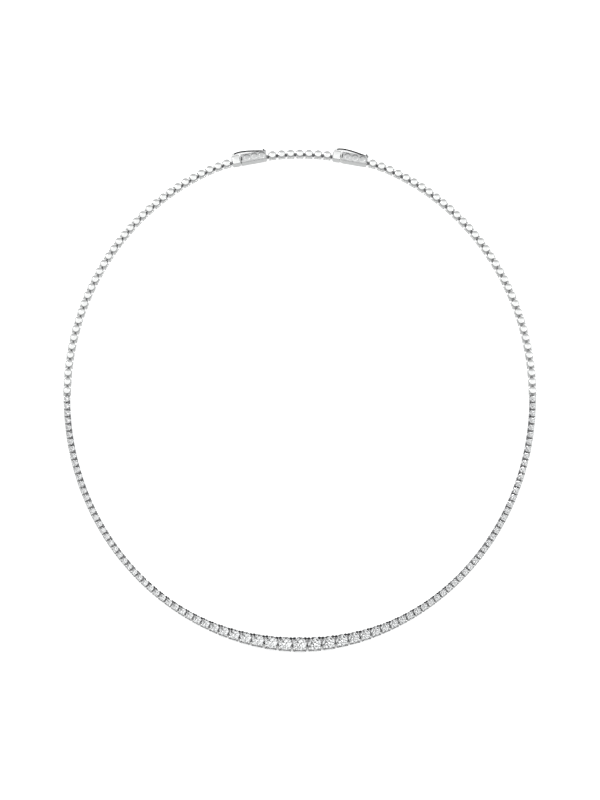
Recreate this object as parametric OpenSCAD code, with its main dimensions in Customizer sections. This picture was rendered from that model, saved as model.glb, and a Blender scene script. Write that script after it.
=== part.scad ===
// Riviere necklace lying as a closed loop: graduated round stones in four-claw settings in
// front, plain polished round links behind, a box clasp on each side and a short removable
// extension between the clasps. Each link is pinned to the next through an eye.

/* [Loop] */
// Depth of the loop divided by its width
loop_aspect = 1.116; // [1.05:0.002:1.2]
// Share of the depth taken off behind, where the rigid clasps flatten the loop
loop_flat = 0.013; // [0:0.001:0.018]
// Turn on each side of the back that is flattened, in degrees
loop_flat_turn = 16; // [14:0.5:20]

/* [Stones] */
// Stones on each side of the centre stone
side_stones = 45; // [42:1:48]
// Stones on each side that are seated here; the smallest settings beyond them stay open
seated_stones = 38; // [20:1:38]
// Largest stones on each side that are pieces of their own
main_stones = 9; // [4:1:10]
// Length of chain taken by the centre stone
centre_pitch = 3.9; // [3.6:0.05:4.4]
// Length of chain taken by each of the smallest stones
small_pitch = 2.04; // [2:0.01:2.3]
// Number of stones over which the sizes fall off from the centre
taper_stones = 6.5; // [4:0.1:9]
// Sharpness of that fall
taper_power = 1.58; // [1:0.02:2]
// Width of the table as a share of the stone
table_share = 0.57; // [0.5:0.01:0.65]
// Slope of the crown from the girdle
crown_angle = 34; // [30:0.5:36]
// Slope of the pavilion from the girdle
pavilion_angle = 41; // [38:0.5:43]
// Thickness of the girdle as a share of the stone
girdle_share = 0.03; // [0.02:0.005:0.05]

/* [Settings] */
// Diameter of the bead claws on the centre stone
centre_claw_d = 0.58; // [0.5:0.02:0.64]
// Diameter of the bead claws on the smallest stones
small_claw_d = 0.38; // [0.34:0.02:0.42]
// How far the claws stand in from the ends of the setting, as a share of its length
claw_inset = 0.015; // [0.005:0.005:0.02]
// How much thinner the prong is than its claw
claw_lip = 0.1; // [0.08:0.01:0.14]
// Clearance between a stone and the metal round it
stone_gap = 0.03; // [0.02:0.005:0.05]
// Width of the gallery bars under the girdle
gallery_w = 0.16; // [0.12:0.01:0.2]
// Height of the gallery bars
gallery_h = 0.18; // [0.14:0.01:0.22]
// Width of the bars of the lower frame
base_w = 0.2; // [0.16:0.01:0.22]
// Height of the bars of the lower frame
base_h = 0.22; // [0.16:0.01:0.26]

/* [Hinges] */
// Thickness of the pin between two links
pin_d = 0.18; // [0.16:0.01:0.2]
// Clearance between the pin and the eye round it
eye_gap = 0.115; // [0.11:0.005:0.13]
// Thickness of metal round the hole of the eye
eye_wall = 0.14; // [0.12:0.01:0.16]
// Width of the eye across the chain
eye_w = 0.34; // [0.28:0.02:0.38]
// Clearance on each side of the eye
eye_side_gap = 0.13; // [0.12:0.01:0.14]
// Thickness of each cheek that carries the pin
cheek_t = 0.15; // [0.12:0.01:0.17]
// Clearance that lets a hinge swing
swing_gap = 0.14; // [0.13:0.01:0.16]
// Height of the eyes above the surface
eye_lift = 0.02; // [0.01:0.01:0.05]
// Clearance between neighbouring links
link_gap = 0.12; // [0.11:0.01:0.15]

/* [Plain links] */
// Links behind the stones on each side
back_links = 34; // [32:1:36]
// Links of the removable extension
extender_links = 7; // [5:1:9]
// Length of chain taken by each link
link_pitch = 2.545; // [2.5:0.005:2.7]
// Diameter of the polished round barrel
barrel_d = 1.98; // [1.92:0.02:2.02]
// Height of the barrel up to its rim
barrel_h = 2; // [1.9:0.02:2.1]
// Rounding of the rim
barrel_edge = 0.12; // [0.06:0.01:0.16]
// Rise of the domed top
barrel_dome = 0.12; // [0.08:0.01:0.2]
// Width over the straight rails beside the barrel
rails_w = 2.1; // [2.08:0.01:2.14]
// Thickness of each rail
rail_t = 0.2; // [0.18:0.01:0.24]
// Length of each rail
rail_length = 2; // [1.9:0.05:2.1]
// Height of the rails above the surface
rail_h = 0.6; // [0.5:0.02:0.7]
// Clearance under the rails
rail_lift = 0.1; // [0.06:0.01:0.14]

/* [Clasps] */
// Length of chain taken by a closed clasp
clasp_length = 10.4; // [10.2:0.05:11]
// Width of the clasp
clasp_w = 2.5; // [2.45:0.05:2.8]
// Height of the clasp
clasp_h = 2.6; // [2.4:0.05:2.8]
// Wall of the box
clasp_wall = 0.3; // [0.24:0.02:0.34]
// Length of the block on the tongue
block_length = 2.2; // [2.1:0.05:2.4]
// Slot between the block and the box when closed
mouth_gap = 0.25; // [0.2:0.05:0.35]
// Thickness of the folded leaf
leaf_t = 0.18; // [0.14:0.01:0.2]
// Reach of the leaf inside the box
leaf_reach = 3.6; // [3:0.1:4]
// Clearance between the leaf and the box at each side
leaf_side_gap = 0.15; // [0.12:0.01:0.2]
// Width of the thumb press
press_w = 0.9; // [0.7:0.05:1]
// Clearance round the thumb press in its slot
press_gap = 0.15; // [0.12:0.01:0.2]
// Diameter of each round boss on the box
boss_d = 1.9; // [1.7:0.05:2]
// Height of each boss
boss_h = 0.3; // [0.2:0.02:0.4]
// Distance from boss to boss
boss_pitch = 2.1; // [2.05:0.05:2.2]
// Number of bosses on the box
bosses = 3; // [1:1:3]

/* [Safety latches] */
// Thickness of the hinge pin
latch_pin_d = 0.3; // [0.26:0.02:0.34]
// Running clearance of the latch on its pin
latch_pin_gap = 0.04; // [0.03:0.01:0.06]
// Metal round the pin
latch_eye_wall = 0.19; // [0.16:0.01:0.22]
// Height of the latch arm
latch_h = 0.4; // [0.34:0.02:0.46]
// Thickness of the latch arm
latch_t = 0.24; // [0.2:0.02:0.28]
// How far the arm bows away from the box
latch_bow = 0.7; // [0.5:0.05:0.8]
// Place of the bow along the arm; 1 is the middle, less is nearer the hinge
latch_bow_place = 0.6; // [0.5:0.05:1]
// Clearance of the latch from the side of the clasp
latch_gap = 0.12; // [0.1:0.01:0.16]
// Diameter of the ball on the stud
ball_d = 0.52; // [0.46:0.02:0.58]
// Diameter of the neck of the stud
stud_d = 0.3; // [0.24:0.02:0.32]
// Clearance of the ring round the ball
ring_gap = 0.12; // [0.1:0.01:0.14]
// Metal of the ring
ring_wall = 0.2; // [0.16:0.02:0.24]
// Thickness of the ears that hold the hinge pin
ear_t = 0.25; // [0.2:0.01:0.28]
// Clearance between an ear and the latch
ear_gap = 0.08; // [0.06:0.01:0.1]

/* [Hidden] */
$fn = 32;
// How far a cutting shape runs past the face it opens
cut = 1;
gold = [0.82, 0.83, 0.85];
diamond = [0.93, 0.96, 1];

// Whole numbers of pieces
side_count = round(side_stones);
seated_count = round(seated_stones);
main_count = round(main_stones);
back_count = round(back_links);
extender_count = round(extender_links);

// Places along the chain, counted from the centre stone round by the left
left_links_from = side_count + 1;
left_clasp_at = left_links_from + back_count;
extender_from = left_clasp_at + 1;
right_clasp_at = extender_from + extender_count;
right_links_from = right_clasp_at + 1;
right_stones_from = right_links_from + back_count;
chain_count = right_stones_from + side_count;

function rank(place) = min(place, chain_count - place);
function stone_pitch(rank) = small_pitch
    + (centre_pitch - small_pitch) * exp(-pow(rank / taper_stones, taper_power));
function cell(place) =
    rank(place) <= side_count ? stone_pitch(rank(place))
    : place == left_clasp_at || place == right_clasp_at ? clasp_length
    : link_pitch;

// Start of each place along the chain
starts = [
    for (place = 0, run = -cell(0) / 2;
         place <= chain_count;
         run = run + (place < chain_count ? cell(place) : 0), place = place + 1)
    run
];
chain_length = starts[chain_count] - starts[0];

// Loop: an ellipse, flatter behind, whose length is that of the chain
arc_steps = 720;
function flat_part(turn) = loop_flat * exp(-pow(abs(turn - 180) / loop_flat_turn, 4));
function unit_point(turn) = [-sin(turn), -loop_aspect * (cos(turn) + flat_part(turn))];
arc_table = [
    for (i = 0, run = 0;
         i <= arc_steps;
         run = run + norm(unit_point((i + 1) * 360 / arc_steps) - unit_point(i * 360 / arc_steps)),
         i = i + 1)
    [run, i * 360 / arc_steps]
];
loop_half_w = chain_length / arc_table[arc_steps][0];
tightest_radius = loop_half_w / loop_aspect;
function loop_point(run) =
    let (past = run - floor(run / chain_length) * chain_length)
    loop_half_w * unit_point(lookup(past / loop_half_w, arc_table));
function middle(place) = (loop_point(starts[place]) + loop_point(starts[place + 1])) / 2;
function heading(place) =
    let (way = loop_point(starts[place + 1]) - loop_point(starts[place]))
    atan2(way.y, way.x);

// Room that a body of a given width leaves for the bend of the chain at each end
function bend_room(pitch, width) = width * pitch / (4 * tightest_radius);

// Hinges
pin_r = pin_d / 2;
eye_in = pin_r + eye_gap;
eye_out = eye_in + eye_wall;
hinge_z = eye_lift + eye_out;
cheek_in = eye_w / 2 + eye_side_gap;
cheek_out = cheek_in + cheek_t;
pin_root = eye_out + swing_gap;
eye_root = eye_in + swing_gap;
stem_h = eye_out;

// Settings
base_top = hinge_z + base_h / 2;
culet_z = base_top + stone_gap;
function half_body(pitch) = (pitch - link_gap) / 2 - bend_room(pitch, pitch);
function claw_r(pitch) = (small_claw_d
    + (centre_claw_d - small_claw_d) * (pitch - small_pitch) / (centre_pitch - small_pitch)) / 2;
function prong_r(pitch) = claw_r(pitch) - claw_lip / 2;
function prong_place(pitch) = half_body(pitch) - claw_r(pitch) - claw_inset * pitch;
function stone_r(pitch) = min(
    prong_place(pitch) * sqrt(2) - prong_r(pitch) - stone_gap,
    (pitch - link_gap) / 2);
function girdle_z(pitch) = culet_z + stone_r(pitch) * tan(pavilion_angle);
function girdle_t(pitch) = 2 * stone_r(pitch) * girdle_share;
function gallery_top(pitch) = culet_z
    + (prong_place(pitch) - gallery_w / 2 - 2 * stone_gap) * tan(pavilion_angle);

// Plain links: the notch lets the eye of the next link swing
barrel_r = barrel_d / 2;
barrel_top = barrel_h + barrel_dome;
notch_from = link_pitch / 2 - pin_root;
notch_top = hinge_z + eye_out + swing_gap;

// Clasps, from the hinge at the tongue's end to the hinge at the box's end
clasp_from = -clasp_length / 2;
clasp_to = clasp_length / 2;
block_from = clasp_from + eye_root;
block_to = block_from + block_length;
box_from = block_to + mouth_gap;
box_to = clasp_to - pin_root;
cavity_half = clasp_w / 2 - clasp_wall;
leaf_half = cavity_half - leaf_side_gap;
leaf_low = clasp_wall + leaf_side_gap;
leaf_high = clasp_h - clasp_wall - leaf_side_gap;
press_to = box_from + leaf_t + press_gap;
boss_last = box_to - clasp_wall - boss_d / 2;

// Safety latches
latch_z = clasp_h / 2;
latch_bore_r = latch_pin_d / 2 + latch_pin_gap;
latch_eye_r = latch_bore_r + latch_eye_wall;
latch_x = block_from + latch_eye_r + latch_gap;
latch_y = clasp_w / 2 + latch_gap + latch_eye_r;
latch_eye_h = latch_h + latch_gap;
ring_in = ball_d / 2 + ring_gap;
ring_out = ring_in + ring_wall;
ring_y = clasp_w / 2 + latch_gap + latch_t / 2;
ring_x = box_to - ring_in;
ball_y = ring_y + latch_t / 2 + latch_gap + ball_d / 2;
bow_steps = 12;
ball_steps = 8;

// Middle line of a latch's arm, from its hinge to its ring
function bow(t) = [
    latch_x + t * (ring_x - latch_x),
    latch_y + t * (ring_y - latch_y) + latch_bow * sin(180 * pow(t, latch_bow_place))
];
bow_points = [for (i = [0:bow_steps]) bow(i / bow_steps)];

// The bounding box is centred on the origin: the front and back reaches differ a little
function reach_y(place, x, y, radius) =
    middle(place).y + x * sin(heading(place)) + y * cos(heading(place)) + radius;
front_y = middle(0).y - max(stone_r(centre_pitch), prong_place(centre_pitch) + claw_r(centre_pitch));
function clasp_back_y(place) = max(concat(
    [
        reach_y(place, latch_x, latch_y, latch_eye_r),
        reach_y(place, ring_x, ball_y, ball_d / 2)
    ],
    [for (point = bow_points) reach_y(place, point.x, point.y, latch_t / 2)]));
back_y = max(
    reach_y(extender_from + floor(extender_count / 2), 0, 0, rails_w / 2),
    clasp_back_y(left_clasp_at),
    clasp_back_y(right_clasp_at));
loop_shift = -(front_y + back_y) / 2;

MAIN_PLACES = concat(
    [0],
    [for (n = [1:main_count]) n],
    [for (n = [1:main_count]) chain_count - n]);
function place_name(place) =
    place == 0 ? "centre"
    : place <= side_count ? str("left_", place)
    : str("right_", chain_count - place);

// Children are drawn at their place on the chain: x along it, y outward, z up
module on_chain(place) {
    at = middle(place);
    translate([at.x, at.y + loop_shift, 0])
        rotate([0, 0, heading(place)])
            children();
}

module block(x, y, z) {
    translate([x[0], y[0], z[0]])
        cube([x[1] - x[0], y[1] - y[0], z[1] - z[0]]);
}

// A rod across the chain at the height of the hinges
module cross_rod(x, radius, width) {
    translate([x, 0, hinge_z])
        rotate([90, 0, 0])
            cylinder(r = radius, h = width, center = true);
}

// Pin at the leading end of a link, carried between two cheeks
module pin_end(hinge_x, root_x) {
    for (side = [-1, 1])
        block(
            [root_x, hinge_x + eye_in],
            side > 0 ? [cheek_in, cheek_out] : [-cheek_out, -cheek_in],
            [hinge_z - base_h / 2, hinge_z + base_h / 2]);
    cross_rod(hinge_x, pin_r, cheek_in + cheek_out);
}

// Eye at the trailing end of a link, closed round the pin of the link before
module eye_end(hinge_x, root_x) {
    difference() {
        union() {
            cross_rod(hinge_x, eye_out, eye_w);
            block(
                [hinge_x, root_x],
                [-eye_w / 2, eye_w / 2],
                [hinge_z - stem_h / 2, hinge_z + stem_h / 2]);
        }
        cross_rod(hinge_x, eye_in, 2 * eye_w);
    }
}

// Upright prong with a bead claw on top
module prong(pitch) {
    r = prong_r(pitch);
    claw = claw_r(pitch);
    lip_z = girdle_z(pitch) + girdle_t(pitch) + stone_gap;
    side_z = lip_z + claw - r;
    rotate_extrude()
        polygon([
            [0, 0],
            [0.8 * r, 0],
            [r, 0.4 * r],
            [r, lip_z],
            [claw, side_z],
            [claw, side_z + 0.6 * claw],
            [0.75 * claw, side_z + 1.1 * claw],
            [0.35 * claw, side_z + 1.3 * claw],
            [0, side_z + 1.3 * claw]
        ]);
}

// A square frame of bars through the four prongs
module gallery(pitch) {
    c = prong_place(pitch);
    w = gallery_w / 2;
    top = gallery_top(pitch);
    z = [top - gallery_h, top];
    for (side = [-c, c]) {
        block([-c, c], [side - w, side + w], z);
        block([side - w, side + w], [-c, c], z);
    }
}

module setting(pitch) {
    c = prong_place(pitch);
    lead = pitch / 2 - pin_root;
    trail = eye_root - pitch / 2;
    base_z = [hinge_z - base_h / 2, base_top];
    for (x = [-c, c])
        for (y = [-c, c])
            translate([x, y, 0])
                prong(pitch);
    gallery(pitch);
    for (side = [-c, c])
        block([-c, c], [side - gallery_w / 2, side + gallery_w / 2], base_z);
    block([lead - base_w, lead], [-c, c], base_z);
    block([trail, trail + base_w], [-c, c], base_z);
    pin_end(pitch / 2, lead - base_w / 2);
    eye_end(-pitch / 2, trail + base_w / 2);
}

// Round brilliant: a table, a faceted crown, a girdle and a faceted pavilion
module brilliant(pitch) {
    r = stone_r(pitch);
    low = girdle_z(pitch);
    high = low + girdle_t(pitch);
    table_z = high + r * (1 - table_share) * tan(crown_angle);
    points = concat(
        [for (k = [0:7]) [r * table_share * cos(45 * k), r * table_share * sin(45 * k), table_z]],
        [for (k = [0:15]) [r * cos(22.5 * k), r * sin(22.5 * k), high]],
        [for (k = [0:15]) [r * cos(22.5 * k), r * sin(22.5 * k), low]],
        [[0, 0, low - r * tan(pavilion_angle)]]);
    faces = concat(
        [[for (k = [7:-1:0]) k]],
        [for (k = [0:7]) [k, 9 + 2 * k, 8 + 2 * k]],
        [for (k = [0:7]) [k, 8 + 2 * k, 8 + (2 * k + 15) % 16]],
        [for (k = [0:7]) [k, (k + 1) % 8, 9 + 2 * k]],
        [for (k = [0:15]) [8 + k, 8 + (k + 1) % 16, 24 + (k + 1) % 16, 24 + k]],
        [for (k = [0:15]) [24 + k, 24 + (k + 1) % 16, 40]]);
    polyhedron(points = points, faces = faces);
}

// Polished round barrel with a domed top between two straight rails, notched where the next
// link's eye comes in
module plain_link() {
    difference() {
        rotate_extrude()
            polygon([
                [0, 0],
                [barrel_r - barrel_edge / 2, 0],
                [barrel_r, barrel_edge / 2],
                [barrel_r, barrel_h - barrel_edge],
                [barrel_r - barrel_edge / 3, barrel_h - barrel_edge / 3],
                [barrel_r - barrel_edge, barrel_h],
                [0.6 * barrel_r, barrel_h + 0.7 * barrel_dome],
                [0.3 * barrel_r, barrel_top],
                [0, barrel_top]
            ]);
        block([notch_from, link_pitch], [-cheek_in, cheek_in], [-cut, notch_top]);
    }
    for (side = [-1, 1])
        block(
            [-rail_length / 2, rail_length / 2],
            side > 0 ? [rails_w / 2 - rail_t, rails_w / 2] : [-rails_w / 2, rail_t - rails_w / 2],
            [rail_lift, rail_h]);
    pin_end(link_pitch / 2, notch_from - cheek_t);
    eye_end(-link_pitch / 2, cheek_t - notch_from);
}

// Spring leaf folded back on itself, with the thumb press at its free end
module folded_leaf() {
    fold = box_from + leaf_reach;
    rise = clasp_h + boss_h - leaf_high;
    press_x = press_to - press_gap - leaf_t;
    translate([0, leaf_half, 0])
        rotate([90, 0, 0])
            linear_extrude(2 * leaf_half)
                polygon([
                    [block_to - leaf_t, leaf_low],
                    [fold, leaf_low],
                    [fold + leaf_t, leaf_low + leaf_t],
                    [fold, leaf_low + 2.4 * leaf_t],
                    [press_x, leaf_high],
                    [press_x, leaf_high - leaf_t],
                    [fold - leaf_t, leaf_low + 1.2 * leaf_t],
                    [fold - leaf_t, leaf_low + leaf_t],
                    [block_to - leaf_t, leaf_low + leaf_t]
                ]);
    block(
        [press_x, press_x + leaf_t],
        [-press_w / 2, press_w / 2],
        [leaf_high - leaf_t, leaf_high + rise]);
}

// Ears on the outer side of the tongue's block, with the latch's hinge pin between them
module latch_ears() {
    reach = latch_eye_h / 2 + ear_gap;
    for (z = [latch_z - reach - ear_t, latch_z + reach]) {
        block(
            [latch_x - latch_eye_r, latch_x + latch_eye_r],
            [clasp_w / 2 - clasp_wall, latch_y],
            [z, z + ear_t]);
        translate([latch_x, latch_y, z])
            cylinder(r = latch_eye_r, h = ear_t);
    }
    translate([latch_x, latch_y, latch_z])
        cylinder(d = latch_pin_d, h = 2 * reach + ear_t, center = true);
}

module clasp_tongue() {
    eye_end(clasp_from, block_from + clasp_wall);
    block([block_from, block_to], [-clasp_w / 2, clasp_w / 2], [0, clasp_h]);
    folded_leaf();
    latch_ears();
}

// Stud with a ball end on the outer side of the box
module ball_stud() {
    root_y = (clasp_w - clasp_wall) / 2;
    ball_at = ball_y - root_y;
    meet = -acos(stud_d / ball_d);
    translate([ring_x, root_y, latch_z])
        rotate([-90, 0, 0])
            rotate_extrude()
                polygon(concat(
                    [[0, 0], [stud_d / 2, 0]],
                    [for (i = [0:ball_steps])
                        let (a = meet + (90 - meet) * i / ball_steps)
                        [ball_d / 2 * cos(a), ball_at + ball_d / 2 * sin(a)]]));
}

module clasp_box() {
    difference() {
        block([box_from, box_to], [-clasp_w / 2, clasp_w / 2], [0, clasp_h]);
        block(
            [box_from - cut, box_to - clasp_wall],
            [-cavity_half, cavity_half],
            [clasp_wall, clasp_h - clasp_wall]);
        block(
            [box_from - cut, press_to],
            [-press_w / 2 - press_gap, press_w / 2 + press_gap],
            [clasp_h / 2, clasp_h + cut]);
    }
    for (n = [0:round(bosses) - 1])
        translate([boss_last - n * boss_pitch, 0, clasp_h - clasp_wall / 2])
            cylinder(d1 = boss_d, d2 = boss_d - boss_h, h = boss_h + clasp_wall / 2);
    pin_end(clasp_to, box_to - clasp_wall / 2);
    ball_stud();
}

// Bowed arm from the hinge pin to the ring over the ball
module safety_latch() {
    from_t = latch_eye_r / (ring_x - latch_x) * 0.5;
    to_t = 1 - ring_out / (ring_x - latch_x) * 0.8;
    ts = [for (i = [0:bow_steps]) from_t + (to_t - from_t) * i / bow_steps];
    difference() {
        union() {
            translate([latch_x, latch_y, latch_z])
                cylinder(r = latch_eye_r, h = latch_eye_h, center = true);
            translate([0, 0, latch_z - latch_h / 2])
                linear_extrude(latch_h)
                    polygon(concat(
                        [for (t = ts) bow(t) + [0, latch_t / 2]],
                        [for (i = [bow_steps:-1:0]) bow(ts[i]) - [0, latch_t / 2]]));
            translate([ring_x, ring_y, latch_z])
                rotate([90, 0, 0])
                    cylinder(r = ring_out, h = latch_t, center = true);
        }
        translate([latch_x, latch_y, latch_z])
            cylinder(r = latch_bore_r, h = clasp_h, center = true);
        translate([ring_x, ring_y, latch_z])
            rotate([90, 0, 0])
                cylinder(r = ring_in, h = clasp_w, center = true);
    }
}

module setting_at(place) {
    color(gold)
        on_chain(place)
            setting(cell(place));
}

module stone_at(place) {
    color(diamond)
        on_chain(place)
            brilliant(cell(place));
}

module settings(from, to) {
    for (place = [from:to])
        setting_at(place);
}

module stones(from, to) {
    for (place = [from:to])
        stone_at(place);
}

module links(from, count) {
    color(gold)
        for (place = [from:from + count - 1])
            on_chain(place)
                plain_link();
}

for (place = MAIN_PLACES)
    setting_at(place);
for (place = MAIN_PLACES)
    stone_at(place);
settings(main_count + 1, side_count);  // left_settings
settings(right_stones_from, chain_count - main_count - 1);  // right_settings
stones(main_count + 1, seated_count);  // left_stones
stones(chain_count - seated_count, chain_count - main_count - 1);  // right_stones
links(left_links_from, back_count);  // left_links
links(right_links_from, back_count);  // right_links
links(extender_from, extender_count);  // extender_links
color(gold) on_chain(left_clasp_at) clasp_tongue();  // left_clasp_tongue
color(gold) on_chain(left_clasp_at) clasp_box();  // left_clasp_box
color(gold) on_chain(left_clasp_at) safety_latch();  // left_safety_latch
color(gold) on_chain(right_clasp_at) clasp_tongue();  // right_clasp_tongue
color(gold) on_chain(right_clasp_at) clasp_box();  // right_clasp_box
color(gold) on_chain(right_clasp_at) safety_latch();  // right_safety_latch
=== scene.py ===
import math

import bmesh
import bpy
import numpy as np
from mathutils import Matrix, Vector


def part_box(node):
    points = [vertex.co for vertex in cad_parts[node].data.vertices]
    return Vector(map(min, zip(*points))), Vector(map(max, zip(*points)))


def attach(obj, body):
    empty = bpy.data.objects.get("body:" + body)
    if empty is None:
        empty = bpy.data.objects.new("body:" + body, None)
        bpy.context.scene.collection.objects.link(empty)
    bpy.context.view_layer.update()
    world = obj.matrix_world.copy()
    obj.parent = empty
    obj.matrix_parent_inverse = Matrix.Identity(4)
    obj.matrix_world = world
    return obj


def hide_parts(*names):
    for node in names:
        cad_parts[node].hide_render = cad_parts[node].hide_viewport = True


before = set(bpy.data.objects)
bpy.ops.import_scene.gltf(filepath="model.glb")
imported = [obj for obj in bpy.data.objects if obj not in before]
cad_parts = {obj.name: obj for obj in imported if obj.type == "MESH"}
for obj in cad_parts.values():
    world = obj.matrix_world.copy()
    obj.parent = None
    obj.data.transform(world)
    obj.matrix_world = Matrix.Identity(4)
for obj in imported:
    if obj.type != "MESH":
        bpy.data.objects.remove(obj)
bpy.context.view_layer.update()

# Riviere necklace: brilliants in four-claw settings in front, round polished links behind and
# a box clasp on each side of a short extension. Shapes are in millimetres until a mesh is made.
MM = 0.001

# Chain, as in the part's source
LOOP_ASPECT = 1.116
LOOP_FLAT = 0.013
LOOP_FLAT_TURN = math.radians(16)
SIDE_STONES = 45
SEATED_STONES = 38
MAIN_STONES = 9
CENTRE_PITCH = 3.9
SMALL_PITCH = 2.04
TAPER_STONES = 6.5
TAPER_POWER = 1.58
BACK_LINKS = 34
EXTENDER_LINKS = 7
LINK_PITCH = 2.545
CLASP_LENGTH = 10.4
ARC_STEPS = 720

# Places along the chain, counted from the centre stone round by the left
LEFT_LINKS_FROM = SIDE_STONES + 1
LEFT_CLASP = LEFT_LINKS_FROM + BACK_LINKS
EXTENDER_FROM = LEFT_CLASP + 1
RIGHT_CLASP = EXTENDER_FROM + EXTENDER_LINKS
RIGHT_LINKS_FROM = RIGHT_CLASP + 1
CHAIN_COUNT = RIGHT_LINKS_FROM + BACK_LINKS + SIDE_STONES

# Edges taken off
CUT_EDGE = 0.02
PIN_EDGE = 0.03
SETTING_EDGE = 0.035
LATCH_EDGE = 0.04
SOFT_EDGE = 0.05

# How far a cutter passes what it cuts
CUT_PAST = 1

# Hinges between the links
LINK_GAP = 0.12
PIN_R = 0.09
EYE_IN = 0.205
EYE_OUT = 0.345
EYE_WIDTH = 0.34
HINGE_Z = 0.365
CHEEK_IN = 0.3
CHEEK_OUT = 0.45
PIN_PAST = 0.08
SWING_GAP = 0.14
PIN_ROOT = EYE_OUT + SWING_GAP
EYE_ROOT = EYE_IN + SWING_GAP

# Settings
STONE_GAP = 0.03
CLAW_INSET = 0.015
CENTRE_CLAW_D = 0.58
SMALL_CLAW_D = 0.38
CLAW_LIP = 0.1
GALLERY_W = 0.16
GALLERY_H = 0.18
BASE_W = 0.2
BASE_H = 0.22
BASE_TOP = HINGE_Z + BASE_H / 2

# Bead of a claw, as shares of the claw's radius
BEAD = (1.3, 1.25, 0.85)
BEAD_REST = 0.3

# Inner claws: share of the bead, widening and outward shift along the chain, and the least
# pitch with beads painted near black as shade
INNER_CLAW = 0.96
INNER_WIDEN = 1.4
INNER_SHIFT = 0.018
INNER_PAINTED_BLACK_FROM = 2.06

# Stones
TABLE_SHARE = 0.57
STAR_SHARE = 0.5
LOWER_HALF_REACH = 0.25
GIRDLE_SHARE = 0.03
CROWN_SLOPE = math.tan(math.radians(34))
PAVILION_SLOPE = math.tan(math.radians(41))
CULET_Z = BASE_TOP + STONE_GAP
# Turn of each stone in its setting against the one before
STONE_TURN = 2.4

# Plain links
BARREL_R = 0.99
BARREL_H = 2
# Rounding of the rim, rise of the dome and height of the satin band below the rim, darker as
# painted shade
BARREL_EDGE = 0.26
BARREL_DOME = 0.12
BARREL_SHADE = 0.75
NOTCH_TOP = HINGE_Z + EYE_OUT + SWING_GAP
RAILS_W = 2.1
RAIL_T = 0.2
RAIL_LENGTH = 2
RAIL_Z = (0.1, 0.6)
HINGE_INSIDE = 0.15

# Clasps, from the hinge at the tongue's end to the hinge at the box's end
CLASP_W = 2.5
CLASP_H = 2.6
CLASP_WALL = 0.3
BLOCK_LENGTH = 2.2
MOUTH_GAP = 0.25
# Corner, lower rim and upper rim
BLOCK_ROUND = (0.4, 0.1, 0.3)
BOX_ROUND = (0.36, 0.1, 0.24)
# Satin, darker as painted shade, on the box's top down to a depth, and on a share of the height
# of each boss's dome
TOP_SATIN_PAINTED_SHADE = 0.2
BOSS_SATIN_PAINTED_SHADE = 0.6
PRESS_W = 0.9
PRESS_GAP = 0.15
LEAF_T = 0.18
LEAF_GAP = 0.15
LEAF_REACH = 3.6
# Height of the fold, in thicknesses of the leaf
LEAF_FOLD = 2.4
BOSS_D = 1.9
BOSS_H = 0.3
BOSS_RIM = 0.1
BOSS_PITCH = 2.1
BOSSES = 3
CLASP_FROM = -CLASP_LENGTH / 2
CLASP_TO = CLASP_LENGTH / 2
BLOCK_FROM = CLASP_FROM + EYE_ROOT
BLOCK_TO = BLOCK_FROM + BLOCK_LENGTH
BOX_FROM = BLOCK_TO + MOUTH_GAP
BOX_TO = CLASP_TO - PIN_ROOT
CAVITY_HALF = CLASP_W / 2 - CLASP_WALL
PRESS_TO = BOX_FROM + LEAF_T + PRESS_GAP

# Safety latches
LATCH_Z = CLASP_H / 2
LATCH_GAP = 0.12
LATCH_PIN_D = 0.3
LATCH_PIN_GAP = 0.04
LATCH_EYE_WALL = 0.19
LATCH_BORE_R = LATCH_PIN_D / 2 + LATCH_PIN_GAP
LATCH_EYE_R = LATCH_BORE_R + LATCH_EYE_WALL
LATCH_H = 0.4
LATCH_T = 0.24
LATCH_BOW = 0.7
LATCH_BOW_PLACE = 0.6
# The arm's wire is thicker than in the part's source, on its outer side
WIRE_R = 0.21
WIRE_OUT = WIRE_R - LATCH_T / 2
# Where the wire starts and ends, as shares of the radius of the eye and of the ring
WIRE_START = 0.5
WIRE_END = 0.8
BALL_R = 0.26
STUD_R = 0.15
RING_GAP = 0.12
RING_WALL = 0.2
RING_IN = BALL_R + RING_GAP
RING_OUT = RING_IN + RING_WALL
EAR_T = 0.25
EAR_GAP = 0.08
LATCH_X = BLOCK_FROM + LATCH_EYE_R + LATCH_GAP
LATCH_Y = CLASP_W / 2 + LATCH_GAP + LATCH_EYE_R
EAR_ROUND = (LATCH_EYE_R - 0.01, SOFT_EDGE, SOFT_EDGE)
RING_X = BOX_TO - RING_IN
RING_Y = CLASP_W / 2 + LATCH_GAP + LATCH_T / 2
BALL_Y = RING_Y + LATCH_T / 2 + LATCH_GAP + BALL_R

# Photograph's camera, aimed at a place measured from the middle of the loop
LENS_MM = 135
SENSOR_MM = 36
CAMERA_FAR = 811.7
CAMERA_ELEVATION = 72
CAMERA_TARGET = (0.05, -2.5, 1.0)


def rank(place):
    """Steps from the centre stone, whichever way is shorter."""
    return min(place, CHAIN_COUNT - place)


def stone_pitch(steps):
    """Length of chain that a stone takes, so many steps from the centre."""
    fall = math.exp(-((steps / TAPER_STONES) ** TAPER_POWER))
    return SMALL_PITCH + (CENTRE_PITCH - SMALL_PITCH) * fall


def cell(place):
    """Length of chain that a place takes."""
    if rank(place) <= SIDE_STONES:
        return stone_pitch(rank(place))
    return CLASP_LENGTH if place in (LEFT_CLASP, RIGHT_CLASP) else LINK_PITCH


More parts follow.
